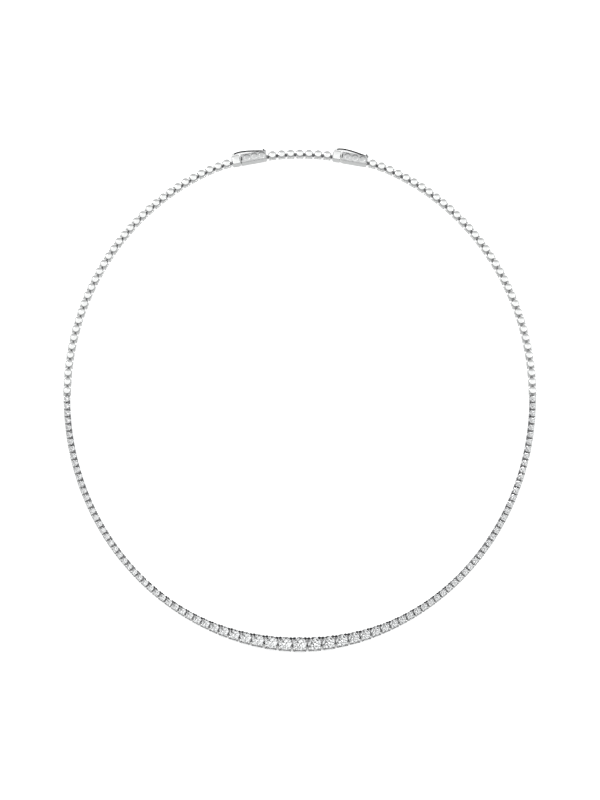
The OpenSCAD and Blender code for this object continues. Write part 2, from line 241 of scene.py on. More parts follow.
class Loop:
    """The ellipse that the chain lies on, flatter behind and as long as the chain."""

    def __init__(self):
        cells = [cell(place) for place in range(CHAIN_COUNT)]
        self.starts = np.concatenate([[0], np.cumsum(cells)]) - cells[0] / 2
        self.length = sum(cells)
        self.turns = np.linspace(0, 2 * math.pi, ARC_STEPS + 1)
        steps = np.diff(self.unit(self.turns), axis=0)
        self.runs = np.concatenate([[0], np.cumsum(np.hypot(*steps.T))])
        self.half_w = self.length / self.runs[-1]
        self.shift = 0

    @staticmethod
    def unit(turn):
        flat = LOOP_FLAT * np.exp(-((np.abs(turn - math.pi) / LOOP_FLAT_TURN) ** 4))
        return np.stack([-np.sin(turn), -LOOP_ASPECT * (np.cos(turn) + flat)], axis=-1)

    def point(self, run):
        past = (run % self.length) / self.half_w
        return self.half_w * self.unit(np.interp(past, self.runs, self.turns))

    def place(self, number):
        """Middle of a place and the direction that the chain runs there."""
        start, end = self.point(self.starts[number]), self.point(self.starts[number + 1])
        way = (end - start) / np.hypot(*(end - start))
        middle = (start + end) / 2 + [0, self.shift]
        return middle, way


loop = Loop()
low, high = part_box("stone_centre")
loop.shift = (low.y + high.y) / 2 / MM - loop.place(0)[0][1]
tightest_radius = loop.half_w / LOOP_ASPECT


class Shape:
    """Points and faces of a piece, with the kind of surface of each face."""

    def __init__(self):
        self.points = []
        self.faces = []
        self.kinds = []
        self.count = 0

    def add(self, form, kind=0):
        """Add a form; kind is one kind of surface, or a list with one for each face."""
        points, faces = form
        self.points.append(np.asarray(points, float))
        self.faces += [tuple(self.count + i for i in face) for face in faces]
        self.kinds += kind if isinstance(kind, list) else [kind] * len(faces)
        self.count += len(points)
        return self

    def put(self, other, middle, way):
        """Add another shape, laid along the chain."""
        ahead, out = np.array(way), np.array([-way[1], way[0]])
        points = np.concatenate(other.points)
        flat = points[:, :1] * ahead + points[:, 1:2] * out + middle
        self.points.append(np.column_stack([flat, points[:, 2]]))
        self.faces += [tuple(self.count + i for i in face) for face in other.faces]
        self.kinds += other.kinds
        self.count += len(points)


def skin(rings, closed=False):
    """Join rings of points into a surface; a ring of one point is a tip."""
    faces = []
    firsts = np.cumsum([0] + [len(ring) for ring in rings])
    pairs = list(range(len(rings) - 1))
    for i in pairs + ([len(rings) - 1] if closed else []):
        after = (i + 1) % len(rings)
        a, b = firsts[i], firsts[after]
        sides = max(len(rings[i]), len(rings[after]))
        for k in range(sides):
            j = (k + 1) % sides
            if len(rings[i]) == 1:
                faces.append((a, b + j, b + k))
            elif len(rings[after]) == 1:
                faces.append((a + k, a + j, b))
            else:
                faces.append((a + k, a + j, b + j, b + k))
    if not closed:
        for i in (0, len(rings) - 1):
            if len(rings[i]) > 1:
                faces.append(tuple(range(firsts[i], firsts[i] + len(rings[i]))))
    return np.concatenate(rings), faces


def lathe(profile, sides):
    """Form turned about z from pairs of radius and height."""
    turn = np.arange(sides) * 2 * math.pi / sides
    rings = []
    for radius, height in profile:
        if radius == 0:
            rings.append(np.array([[0, 0, height]]))
        else:
            rings.append(np.column_stack([
                radius * np.cos(turn), radius * np.sin(turn), np.full(sides, height)]))
    return skin(rings)


def band(section, sides):
    """Closed section of radius and offset, turned about the y axis."""
    rings = []
    for turn in np.arange(sides) * 2 * math.pi / sides:
        rings.append(np.array([
            [radius * math.cos(turn), offset, radius * math.sin(turn)]
            for radius, offset in section]))
    return skin(rings, closed=True)


def bar(x, y, z, bevel):
    """Block between pairs of limits, with its edges and corners taken off."""
    limits = np.array([x, y, z], float)
    inset = [bevel, -bevel]
    points = []
    for corner in range(8):
        bits = [corner >> axis & 1 for axis in range(3)]
        for face_axis in range(3):
            points.append([
                limits[axis][bits[axis]] + (0 if axis == face_axis else inset[bits[axis]])
                for axis in range(3)])
    faces = [(3 * corner, 3 * corner + 1, 3 * corner + 2) for corner in range(8)]
    for axis in range(3):
        one, two = [1 << other for other in range(3) if other != axis]
        first, second = [other for other in range(3) if other != axis]
        for side in (0, 1 << axis):
            around = [side, side + one, side + one + two, side + two]
            faces.append(tuple(3 * corner + axis for corner in around))
        for base in (0, one, two, one + two):
            far = base + (1 << axis)
            faces.append((3 * base + first, 3 * far + first, 3 * far + second, 3 * base + second))
    return np.array(points), faces


def slab(x, y, z, corner, low_edge, top_edge):
    """Block with corners rounded in plan and with soft rims below and above."""
    steps = 5
    middle = [(x[0] + x[1]) / 2, (y[0] + y[1]) / 2]
    straight = [(x[1] - x[0]) / 2 - corner, (y[1] - y[0]) / 2 - corner]
    levels = []
    for i in range(steps + 1):
        turn = math.pi / 2 * i / steps
        levels.append((low_edge * (1 - math.sin(turn)), z[0] + low_edge * (1 - math.cos(turn))))
    for i in range(steps + 1):
        turn = math.pi / 2 * i / steps
        levels.append((top_edge * (1 - math.cos(turn)), z[1] - top_edge * (1 - math.sin(turn))))
    rings = []
    for inset, height in levels:
        ring = []
        for quarter, (side_x, side_y) in enumerate(((1, 1), (-1, 1), (-1, -1), (1, -1))):
            for step in range(steps + 1):
                turn = math.pi / 2 * (quarter + step / steps)
                ring.append([
                    middle[0] + side_x * straight[0] + (corner - inset) * math.cos(turn),
                    middle[1] + side_y * straight[1] + (corner - inset) * math.sin(turn), height])
        rings.append(np.array(ring))
    return skin(rings)


def moved(form, offset):
    points, faces = form
    return points + np.array(offset, float), faces


def turned(form, matrix):
    """Form with its points multiplied by a 3 by 3 matrix."""
    points, faces = form
    return points @ np.array(matrix, float).T, faces


def across(form):
    """Form turned from the z axis to the y axis."""
    return turned(form, [[1, 0, 0], [0, 0, 1], [0, -1, 0]])


def upright(form):
    """Form turned from the y axis to the z axis."""
    return turned(form, [[1, 0, 0], [0, 0, -1], [0, 1, 0]])


def carved(form, *cutters):
    """Form with others cut out of it."""
    body = new_object("blank", *form)
    blanks = [body]
    for cutter in cutters:
        blanks.append(new_object("cutter", *cutter))
        cut = body.modifiers.new("cut", "BOOLEAN")
        cut.object = blanks[-1]
        cut.operation = "DIFFERENCE"
        cut.solver = "EXACT"
    mesh = body.evaluated_get(bpy.context.evaluated_depsgraph_get()).to_mesh()
    points = np.array([v.co for v in mesh.vertices], float)
    faces = [tuple(p.vertices) for p in mesh.polygons]
    for blank in blanks:
        bpy.data.objects.remove(blank)
    return points, faces


def ball_profile(steps):
    """Half circle of radius 1 from the lowest point to the highest."""
    angles = [-90 + 180 * i / steps for i in range(steps + 1)]
    return [
        (0 if abs(angle) == 90 else math.cos(math.radians(angle)), math.sin(math.radians(angle)))
        for angle in angles]


def rod_profile(radius, half, bevel):
    return [
        (0, -half), (radius - bevel, -half), (radius, -half + bevel),
        (radius, half - bevel), (radius - bevel, half), (0, half)]


# Measures of a setting of a given pitch, as in the part's source
def claw_r(pitch):
    share = (pitch - SMALL_PITCH) / (CENTRE_PITCH - SMALL_PITCH)
    return (SMALL_CLAW_D + (CENTRE_CLAW_D - SMALL_CLAW_D) * share) / 2


def prong_r(pitch):
    return claw_r(pitch) - CLAW_LIP / 2


def prong_place(pitch):
    half_body = (pitch - LINK_GAP) / 2 - pitch * pitch / (4 * tightest_radius)
    return half_body - claw_r(pitch) - CLAW_INSET * pitch


def stone_r(pitch):
    corner = prong_place(pitch) * math.sqrt(2) - prong_r(pitch) - STONE_GAP
    return min(corner, (pitch - LINK_GAP) / 2)


def girdle_z(pitch):
    return CULET_Z + stone_r(pitch) * PAVILION_SLOPE


def brilliant(pitch, turn):
    """Round brilliant of 57 facets with a scalloped girdle, turned about its axis."""
    radius = stone_r(pitch)
    low_z = girdle_z(pitch)
    high_z = low_z + 2 * radius * GIRDLE_SHARE
    eighth = math.pi / 8
    star_r = (TABLE_SHARE + STAR_SHARE * (1 - TABLE_SHARE)) / math.cos(eighth)

    def ring(reach, steps, height, offset=0.0):
        angles = turn + (np.arange(steps) * 16 / steps + offset) * eighth
        return np.column_stack([
            reach * radius * np.cos(angles), reach * radius * np.sin(angles),
            np.full(steps, height)])

    # A facet's plane through two girdle points and its inner point meets the girdle between
    # them a little off its level
    def scallop(inner_reach, slope):
        inner_height = slope * (1 - inner_reach * math.cos(eighth))
        chord = math.cos(eighth / 2)
        inner = inner_reach * math.cos(eighth / 2)
        return inner_height * (1 - chord) / (chord - inner)

    dip = radius * scallop(star_r, CROWN_SLOPE)
    rise = radius * scallop(LOWER_HALF_REACH, PAVILION_SLOPE)
    table = ring(TABLE_SHARE, 8, high_z + radius * (1 - TABLE_SHARE) * CROWN_SLOPE)
    stars = ring(star_r, 8, high_z + radius * (1 - star_r * math.cos(eighth)) * CROWN_SLOPE, 1)
    crown_edge = ring(1, 32, high_z)
    crown_edge[1::2, 2] -= dip
    base_edge = ring(1, 32, low_z)
    base_edge[1::2, 2] += rise
    lowers = ring(
        LOWER_HALF_REACH, 8,
        low_z - radius * (1 - LOWER_HALF_REACH * math.cos(eighth)) * PAVILION_SLOPE, 1)
    culet = np.array([[0, 0, low_z - radius * PAVILION_SLOPE]])
    points = np.concatenate([table, stars, crown_edge, base_edge, lowers, culet])
    star, crown, base, lower, tip = 8, 16, 48, 80, 88
    faces = [tuple(range(8))]
    for k in range(8):
        after, before = (k + 1) % 8, (k - 1) % 8
        faces.append((k, star + k, after))
        faces.append((k, star + before, crown + 4 * k, star + k))
        faces.append((base + 4 * k, lower + k, tip, lower + before))
        for first in (4 * k, 4 * k + 2):
            around = [first, first + 1, (first + 2) % 32]
            faces.append(tuple([star + k] + [crown + i for i in around]))
            faces.append(tuple([lower + k] + [base + i for i in around]))
    for k in range(32):
        after = (k + 1) % 32
        faces.append((base + k, base + after, crown + after, crown + k))
    return points, faces


# Kinds of surface: polished metal; metal darkened grey as painted shade; satin metal whose darker
# colour is painted shade; metal painted near black as shade
METAL, PAINTED_SHADE_GREY, SATIN_PAINTED_SHADE, PAINTED_SHADE_BLACK = 0, 1, 2, 3
CLAW_BALL = lathe(ball_profile(8), 16)


def prong(pitch, share):
    """Upright prong with a bead claw bent over the crown; the stone is towards +x."""
    r, claw = prong_r(pitch), claw_r(pitch)
    edge_z = girdle_z(pitch) + 2 * stone_r(pitch) * GIRDLE_SHARE
    stem = lathe([(0, 0), (0.7 * r, 0), (0.93 * r, 0.15 * r), (r, 0.45 * r), (r, edge_z),
                  (0.8 * r, edge_z + 0.5 * r), (0, edge_z + 0.7 * r)], 16)
    long, wide, thick = (part * share * claw for part in BEAD)
    slope = math.atan(CROWN_SLOPE)
    up = np.array([-math.sin(slope), 0, math.cos(slope)])
    along = np.array([math.cos(slope), 0, math.sin(slope)])
    foot_x = BEAD_REST * claw + thick * math.sin(slope)
    foot_z = edge_z + (foot_x - r - STONE_GAP) * CROWN_SLOPE
    ball = turned(CLAW_BALL, np.column_stack([long * along, [0, wide, 0], thick * up]))
    ball = moved(ball, np.array([foot_x, 0, foot_z]) + thick * up)
    return stem, ball


def pin_end(shape, hinge_x, root_x, kind):
    """Pin at the leading end of a link, between two cheeks."""
    for side in (-1, 1):
        y = sorted((side * CHEEK_IN, side * CHEEK_OUT))
        shape.add(bar((root_x, hinge_x + EYE_IN), y,
                      (HINGE_Z - BASE_H / 2, HINGE_Z + BASE_H / 2), PIN_EDGE), kind)
    half = (CHEEK_IN + CHEEK_OUT) / 2 + PIN_PAST
    pin = across(lathe(rod_profile(PIN_R, half, PIN_EDGE), 16))
    shape.add(moved(pin, (hinge_x, 0, HINGE_Z)), kind)


def ring_section(inner, outer, half, bevel):
    return [
        (inner, -half + bevel), (inner + bevel, -half), (outer - bevel, -half),
        (outer, -half + bevel), (outer, half - bevel), (outer - bevel, half),
        (inner + bevel, half), (inner, half - bevel)]


def eye_end(shape, hinge_x, root_x, kind):
    """Eye at the trailing end of a link, round the pin of the link before."""
    half = EYE_WIDTH / 2
    eye = band(ring_section(EYE_IN, EYE_OUT, half, PIN_EDGE), 24)
    shape.add(moved(eye, (hinge_x, 0, HINGE_Z)), kind)
    shape.add(bar((hinge_x + EYE_IN + PIN_EDGE, root_x), (-half, half),
                  (HINGE_Z - EYE_OUT / 2, HINGE_Z + EYE_OUT / 2), PIN_EDGE), kind)


def setting(pitch):
    """Four-claw basket: prongs, gallery, lower frame, pin end and eye."""
    shape = Shape()
    c = prong_place(pitch)
    # Inner claw beads are painted shade: near black on the larger settings, grey on the smaller
    inner_kind = PAINTED_SHADE_BLACK if pitch > INNER_PAINTED_BLACK_FROM else PAINTED_SHADE_GREY
    for x in (-c, c):
        for y in (-c, c):
            inward = math.atan2(-y, -x)
            cos, sin = math.cos(inward), math.sin(inward)
            spin = [[cos, -sin, 0], [sin, cos, 0], [0, 0, 1]]
            inner = y < 0
            stem, ball = prong(pitch, INNER_CLAW if inner else 1)
            ball = turned(ball, spin)
            if inner:
                stem, ball = (turned(form, np.diag([INNER_WIDEN, 1, 1])) for form in (stem, ball))
                ball = moved(ball, (math.copysign(INNER_SHIFT * pitch, x), 0, 0))
            # Stems carry grey painted shade; outer beads stay polished
            shape.add(moved(stem, (x, y, 0)), PAINTED_SHADE_GREY)
            shape.add(moved(ball, (x, y, 0)), inner_kind if inner else METAL)
    top = CULET_Z + (c - GALLERY_W / 2 - 2 * STONE_GAP) * PAVILION_SLOPE
    gallery_z = (top - GALLERY_H, top)
    half = GALLERY_W / 2
    for side in (-c, c):
        across_chain = (side - half, side + half)
        shape.add(bar((-c, c), across_chain, gallery_z, SETTING_EDGE), METAL)
        shape.add(bar(across_chain, (-c, c), gallery_z, SETTING_EDGE), METAL)
    lead, trail = pitch / 2 - PIN_ROOT, EYE_ROOT - pitch / 2
    base_z = (HINGE_Z - BASE_H / 2, BASE_TOP)
    # The lower frame and the hinge parts carry grey painted shade
    for side in (-c, c):
        shape.add(bar((-c, c), (side - half, side + half), base_z, SETTING_EDGE), PAINTED_SHADE_GREY)
    for x in ((lead - BASE_W, lead), (trail, trail + BASE_W)):
        shape.add(bar(x, (-c, c), base_z, SETTING_EDGE), PAINTED_SHADE_GREY)
    pin_end(shape, pitch / 2, lead - BASE_W / 2, PAINTED_SHADE_GREY)
    eye_end(shape, -pitch / 2, trail + BASE_W / 2, PAINTED_SHADE_GREY)
    return shape


def barrel():
    """Polished round barrel with a domed top, notched for the eye of the next link."""
    edge_steps, dome_steps = 6, 6
    foot = [(0, 0), (0.9 * BARREL_R, 0), (BARREL_R - 0.03, 0.01), (BARREL_R, 0.06)]
    profile = foot + [(BARREL_R, BARREL_H - BARREL_EDGE - BARREL_SHADE)]
    for i in range(edge_steps + 1):
        turn = math.radians(90 * i / edge_steps)
        profile.append((
            BARREL_R - BARREL_EDGE * (1 - math.cos(turn)),
            BARREL_H - BARREL_EDGE * (1 - math.sin(turn))))
    inner = BARREL_R - BARREL_EDGE
    for i in range(1, dome_steps):
        reach = 1 - i / dome_steps
        profile.append((inner * reach, BARREL_H + BARREL_DOME * (1 - reach * reach)))
    profile.append((0, BARREL_H + BARREL_DOME))
    reach = LINK_PITCH / 2 - PIN_ROOT
    notch = bar((reach, LINK_PITCH), (-CHEEK_IN, CHEEK_IN), (-CUT_PAST, NOTCH_TOP), CUT_EDGE)
    return carved(lathe(profile, 40), notch)


def new_object(name, points, faces):
    """Object with outward faces; points are used as they are."""
    mesh = bpy.data.meshes.new(name)
    mesh.from_pydata(np.asarray(points).tolist(), [], faces)
    cleaner = bmesh.new()
    cleaner.from_mesh(mesh)
    bmesh.ops.recalc_face_normals(cleaner, faces=cleaner.faces)
    cleaner.to_mesh(mesh)
    cleaner.free()
    obj = bpy.data.objects.new(name, mesh)
    bpy.context.scene.collection.objects.link(obj)
    return obj


def plain_link(body):
    """Barrel between two straight rails, with its pin end and eye."""
    shape = Shape()
    points, faces = body
    rim_z = BARREL_H - BARREL_EDGE
    heights = (points[list(face), 2].mean() for face in faces)
    # Faces of the band below the rim are satin, darker as painted shade
    shape.add(body, [
        SATIN_PAINTED_SHADE if rim_z - BARREL_SHADE < height < rim_z else METAL for height in heights])
    for side in (-1, 1):
        y = sorted((side * RAILS_W / 2, side * (RAILS_W / 2 - RAIL_T)))
        shape.add(bar((-RAIL_LENGTH / 2, RAIL_LENGTH / 2), y, RAIL_Z, SOFT_EDGE), METAL)
    reach = LINK_PITCH / 2 - PIN_ROOT
    # The hinge parts carry grey painted shade
    pin_end(shape, LINK_PITCH / 2, reach - HINGE_INSIDE, PAINTED_SHADE_GREY)
    eye_end(shape, -LINK_PITCH / 2, HINGE_INSIDE - reach, PAINTED_SHADE_GREY)
    return shape


def clasp_tongue():
    """Rounded block with a folded leaf, a thumb press and the ears of the safety latch."""
    shape = Shape()
    half_w = CLASP_W / 2
    # The eye carries grey painted shade
    eye_end(shape, CLASP_FROM, BLOCK_FROM + CLASP_WALL, PAINTED_SHADE_GREY)
    block = slab((BLOCK_FROM, BLOCK_TO), (-half_w, half_w), (0, CLASP_H), *BLOCK_ROUND)
    shape.add(block, METAL)
    low_z, high_z = CLASP_WALL + LEAF_GAP, CLASP_H - CLASP_WALL - LEAF_GAP
    fold = BOX_FROM + LEAF_REACH
    press_x = PRESS_TO - PRESS_GAP - LEAF_T
    outline = [
        (BLOCK_TO - LEAF_T, low_z), (fold, low_z), (fold + LEAF_T, low_z + LEAF_T),
        (fold, low_z + LEAF_FOLD * LEAF_T), (press_x, high_z), (press_x, high_z - LEAF_T),
        (fold - LEAF_T, low_z + LEAF_FOLD / 2 * LEAF_T), (fold - LEAF_T, low_z + LEAF_T),
        (BLOCK_TO - LEAF_T, low_z + LEAF_T)]
    leaf_half = CAVITY_HALF - LEAF_GAP
    shape.add(skin([np.array([[x, y, z] for x, z in outline]) for y in (-leaf_half, leaf_half)]))
    # The thumb press carries grey painted shade
    shape.add(bar((press_x, press_x + LEAF_T), (-PRESS_W / 2, PRESS_W / 2),
                  (high_z - LEAF_T, CLASP_H + BOSS_H), SOFT_EDGE), PAINTED_SHADE_GREY)
    reach = (LATCH_H + LATCH_GAP) / 2 + EAR_GAP
    for z in (LATCH_Z - reach - EAR_T, LATCH_Z + reach):
        shape.add(slab(
            (LATCH_X - LATCH_EYE_R, LATCH_X + LATCH_EYE_R),
            (half_w - CLASP_WALL, LATCH_Y + LATCH_EYE_R), (z, z + EAR_T), *EAR_ROUND), METAL)
    pin = lathe(rod_profile(LATCH_PIN_D / 2, reach + EAR_T / 2, PIN_EDGE), 20)
    shape.add(moved(pin, (LATCH_X, LATCH_Y, LATCH_Z)), METAL)
    return shape


def clasp_box():
    """Box with rounded rims, a slot for the press, three round bosses and the ball stud."""
    shape = Shape()
    half_w = CLASP_W / 2
    block = slab((BOX_FROM, BOX_TO), (-half_w, half_w), (0, CLASP_H), *BOX_ROUND)
    cavity = bar((BOX_FROM - CUT_PAST, BOX_TO - CLASP_WALL), (-CAVITY_HALF, CAVITY_HALF),
                 (CLASP_WALL, CLASP_H - CLASP_WALL), CUT_EDGE)
    slot_half = PRESS_W / 2 + PRESS_GAP
    slot = bar((BOX_FROM - CUT_PAST, PRESS_TO), (-slot_half, slot_half),
               (CLASP_H / 2, CLASP_H + CUT_PAST), CUT_EDGE)
    points, faces = carved(block, cavity, slot)
    # The top faces are satin, darker as painted shade
    shape.add((points, faces), [
        SATIN_PAINTED_SHADE if points[list(face), 2].min() > CLASP_H - TOP_SATIN_PAINTED_SHADE else METAL
        for face in faces])
    boss_r = BOSS_D / 2
    dome_h = BOSS_H - BOSS_RIM
    shares = (0.94, 0.85, 0.7, 0.5, 0.25)
    profile = [(0, -CLASP_WALL / 2), (boss_r, -CLASP_WALL / 2), (boss_r, 0.02),
               (0.99 * boss_r, BOSS_RIM)]
    for share in shares:
        rise = dome_h * (1 - share * share) / (1 - shares[0] ** 2 / 2)
        profile.append((share * boss_r, min(BOSS_RIM + rise, BOSS_H)))
    boss = lathe(profile + [(0, BOSS_H)], 36)
    # The upper share of each boss's dome is satin, darker as painted shade
    satin_painted_shade_from = BOSS_H - BOSS_SATIN_PAINTED_SHADE * dome_h
    boss_kinds = [
        SATIN_PAINTED_SHADE if boss[0][list(face), 2].mean() > satin_painted_shade_from else METAL for face in boss[1]]
    for n in range(BOSSES):
        x = BOX_TO - CLASP_WALL - boss_r - n * BOSS_PITCH
        shape.add(moved(boss, (x, 0, CLASP_H)), boss_kinds)
    # The pin end carries grey painted shade
    pin_end(shape, CLASP_TO, BOX_TO - CLASP_WALL / 2, PAINTED_SHADE_GREY)
    stud = lathe(rod_profile(STUD_R, (BALL_Y - half_w + CLASP_WALL) / 2, CUT_EDGE), 16)
    shape.add(moved(across(stud), (RING_X, (BALL_Y + half_w - CLASP_WALL) / 2, LATCH_Z)), METAL)
    # The ball carries grey painted shade
    points, faces = lathe(ball_profile(12), 24)
    shape.add(moved((points * BALL_R, faces), (RING_X, BALL_Y, LATCH_Z)), PAINTED_SHADE_GREY)
    return shape


def safety_latch():
    """Bowed wire from the hinge pin to the ring round the ball."""
    shape = Shape()
    eye_half = (LATCH_H + LATCH_GAP) / 2
    eye = band(ring_section(LATCH_BORE_R, LATCH_EYE_R, eye_half, LATCH_EDGE), 28)
    # The eye and the ring carry grey painted shade
    shape.add(moved(upright(eye), (LATCH_X, LATCH_Y, LATCH_Z)), PAINTED_SHADE_GREY)
    ring = band(ring_section(RING_IN, RING_OUT, LATCH_T / 2, LATCH_EDGE), 36)
    shape.add(moved(ring, (RING_X, RING_Y, LATCH_Z)), PAINTED_SHADE_GREY)
    steps, sides = 20, 14
    length = RING_X - LATCH_X
    first, last = WIRE_START * LATCH_EYE_R / length, 1 - WIRE_END * RING_OUT / length
    shares = first + (last - first) * np.arange(steps + 1) / steps
    bow = LATCH_BOW * np.sin(math.pi * shares ** LATCH_BOW_PLACE)
    path = np.column_stack([
        LATCH_X + shares * length, LATCH_Y + shares * (RING_Y - LATCH_Y) + bow])
    ways = np.gradient(path, axis=0)
    ways /= np.hypot(*ways.T)[:, None]
    turn = np.arange(sides) * 2 * math.pi / sides
    rings = []
    for (x, y), (way_x, way_y) in zip(path, ways):
        out = WIRE_OUT + WIRE_R * np.cos(turn)
        rings.append(np.column_stack([
            x - way_y * out, y + way_x * out, LATCH_Z + LATCH_H / 2 * np.sin(turn)]))
    # The wire is painted near black as shade
    shape.add(skin(rings), PAINTED_SHADE_BLACK)
    return shape


# Materials, with the scales of their noises per metre
WEAR_SCALE = 900
BUMP_SCALE = 2600
TINT_SCALE = 150


def nodes_of(material):
    material.use_nodes = True
    tree = material.node_tree
    return tree, tree.nodes["Principled BSDF"]


def noise(tree, scale, detail, coordinates):
    node = tree.nodes.new("ShaderNodeTexNoise")
    node.inputs["Scale"].default_value = scale
    node.inputs["Detail"].default_value = detail
    tree.links.new(coordinates, node.inputs["Vector"])
    return node.outputs["Fac"]


def ranged(tree, value, low_in, high_in, low_out, high_out):
    node = tree.nodes.new("ShaderNodeMapRange")
    node.inputs["From Min"].default_value = low_in
    node.inputs["From Max"].default_value = high_in
    node.inputs["To Min"].default_value = low_out
    node.inputs["To Max"].default_value = high_out
    tree.links.new(value, node.inputs["Value"])
    return node.outputs["Result"]


def two_tones(tree, value, low_tone, high_tone, places=(0, 1)):
    """Colour that runs from one tone to another as a value rises."""
    node = tree.nodes.new("ShaderNodeValToRGB")
    tones = zip(node.color_ramp.elements, (low_tone, high_tone), places)
    for element, tone, place in tones:
        element.color = (*tone, 1)
        element.position = place
    tree.links.new(value, node.inputs["Fac"])
    return node.outputs["Color"]


def white_gold(name, bright, dull, rough_low, rough_high):
    """White gold with fine wear in its roughness and colour; the darker copies' tones are painted
    shade.
    """
    material = bpy.data.materials.new(name)
    tree, shader = nodes_of(material)
    place = tree.nodes.new("ShaderNodeTexCoord").outputs["Object"]
    shader.inputs["Metallic"].default_value = 1
    wear = noise(tree, WEAR_SCALE, 4, place)
    roughness = ranged(tree, wear, 0.35, 0.65, rough_low, rough_high)
    tree.links.new(roughness, shader.inputs["Roughness"])
    colour = two_tones(tree, wear, dull, bright, (0.25, 0.6))
    tree.links.new(colour, shader.inputs["Base Color"])
    bump = tree.nodes.new("ShaderNodeBump")
    bump.inputs["Strength"].default_value = 0.06
    bump.inputs["Distance"].default_value = 0.00003
    tree.links.new(noise(tree, BUMP_SCALE, 3, place), bump.inputs["Height"])
    tree.links.new(bump.outputs["Normal"], shader.inputs["Normal"])
    return material


def diamond_material():
    """Colourless stone with a trace of cool tint that shifts from stone to stone."""
    material = bpy.data.materials.new("diamond")
    tree, shader = nodes_of(material)
    place = tree.nodes.new("ShaderNodeTexCoord").outputs["Object"]
    shader.inputs["Transmission Weight"].default_value = 1
    shader.inputs["IOR"].default_value = 2.417
    shader.inputs["Roughness"].default_value = 0
    tint = noise(tree, TINT_SCALE, 1, place)
    colour = two_tones(tree, tint, (0.975, 0.978, 0.99), (1, 0.998, 1))
    tree.links.new(colour, shader.inputs["Base Color"])
    return material


polished = white_gold("white_gold", (0.9, 0.9, 0.89), (0.84, 0.84, 0.84), 0.06, 0.16)
# Grey copy of white gold, painted shade on claw stems, smaller inner beads, lower frames, hinges,
# the thumb press, the ball and the latch's eye and ring
painted_shade_grey_gold = white_gold("white_gold_painted_shade_grey", (0.28, 0.28, 0.285), (0.2, 0.2, 0.205), 0.2, 0.34)
# Satin copy whose darker colour is painted shade on the barrels' bands, the box tops and the
# bosses
satin_painted_shade_gold = white_gold("white_gold_satin_painted_shade", (0.62, 0.62, 0.62), (0.46, 0.46, 0.465), 0.24, 0.36)
# Near-black copy, painted shade on the larger inner claw beads and the latch wires
painted_shade_black_gold = white_gold("white_gold_painted_shade_black", (0.055, 0.055, 0.057), (0.035, 0.035, 0.037), 0.16, 0.28)
diamond = diamond_material()
# In the order of the kinds of surface
METALS = [polished, painted_shade_grey_gold, satin_painted_shade_gold, painted_shade_black_gold]
SHARP_ANGLE = math.radians(40)


def piece(name, shape, slot, node=None, body="necklace"):
    """Make a shape into a piece that rides on a body and stands for a CAD node."""
    metal = slot == "white_gold"
    points = np.concatenate(shape.points) * MM
    obj = new_object(name, points, shape.faces)
    for material in METALS if metal else [diamond]:
        obj.data.materials.append(material)
    obj.data.polygons.foreach_set("material_index", shape.kinds)
    if metal:
        obj.data.polygons.foreach_set("use_smooth", [len(face) <= 4 for face in shape.faces])
        obj.data.set_sharp_from_angle(angle=SHARP_ANGLE)
    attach(obj, body)
    if node:
        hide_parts(node)


def along_chain(places, make):
    """One shape from what is made for each place."""
    whole = Shape()
    for number in places:
        whole.put(make(number), *loop.place(number))
    return whole


def setting_at(number):
    return setting(stone_pitch(rank(number)))


def stone_at(number):
    return Shape().add(brilliant(stone_pitch(rank(number)), number * STONE_TURN))


link_body = barrel()
main_places = {"centre": 0}
for n in range(1, MAIN_STONES + 1):
    main_places[f"left_{n}"] = n
    main_places[f"right_{n}"] = CHAIN_COUNT - n
left_run = list(range(MAIN_STONES + 1, SIDE_STONES + 1))
for label, number in main_places.items():
    piece(f"setting_{label}_look", along_chain([number], setting_at), "white_gold",
          f"setting_{label}")
    piece(f"stone_{label}_look", along_chain([number], stone_at), "diamond", f"stone_{label}")
for side in ("left", "right"):
    run = [n if side == "left" else CHAIN_COUNT - n for n in left_run]
    seated = [n for n in run if rank(n) <= SEATED_STONES]
    smallest = [n for n in run if rank(n) > SEATED_STONES]
    first = LEFT_LINKS_FROM if side == "left" else RIGHT_LINKS_FROM
    piece(f"{side}_settings_look", along_chain(run, setting_at), "white_gold",
          f"{side}_settings")
    piece(f"{side}_stones_look", along_chain(seated, stone_at), "diamond", f"{side}_stones")
    piece(f"{side}_smallest_stones", along_chain(smallest, stone_at), "diamond")
    links = along_chain(range(first, first + BACK_LINKS), lambda n: plain_link(link_body))
    piece(f"{side}_links_look", links, "white_gold", f"{side}_links")
extender = range(EXTENDER_FROM, EXTENDER_FROM + EXTENDER_LINKS)
piece("extender_links_look", along_chain(extender, lambda n: plain_link(link_body)),
      "white_gold", "extender_links")

for side, number in (("left", LEFT_CLASP), ("right", RIGHT_CLASP)):
    for part, make in (("clasp_tongue", clasp_tongue), ("clasp_box", clasp_box),
                       ("safety_latch", safety_latch)):
        body = f"{side}_latch" if part == "safety_latch" else "necklace"
        piece(f"{side}_{part}_look", along_chain([number], lambda n: make()),
              "white_gold", f"{side}_{part}", body)

# Floor, light and camera
FLOOR_HALF = 900
FLOOR_DEPTH = 20
floor_side = (-FLOOR_HALF, FLOOR_HALF)
floor = new_object("floor", *bar(floor_side, floor_side, (-FLOOR_DEPTH, 0), 1))
floor.scale = (MM, MM, MM)
paper = bpy.data.materials.new("paper")
tree, shader = nodes_of(paper)
shader.inputs["Roughness"].default_value = 0.9
paper_place = tree.nodes.new("ShaderNodeTexCoord").outputs["Object"]
paper_tone = two_tones(tree, noise(tree, 0.02, 2, paper_place), [0.93] * 3, [0.96] * 3)
tree.links.new(paper_tone, shader.inputs["Base Color"])
floor.data.materials.append(paper)
floor.visible_glossy = False
floor.visible_transmission = False

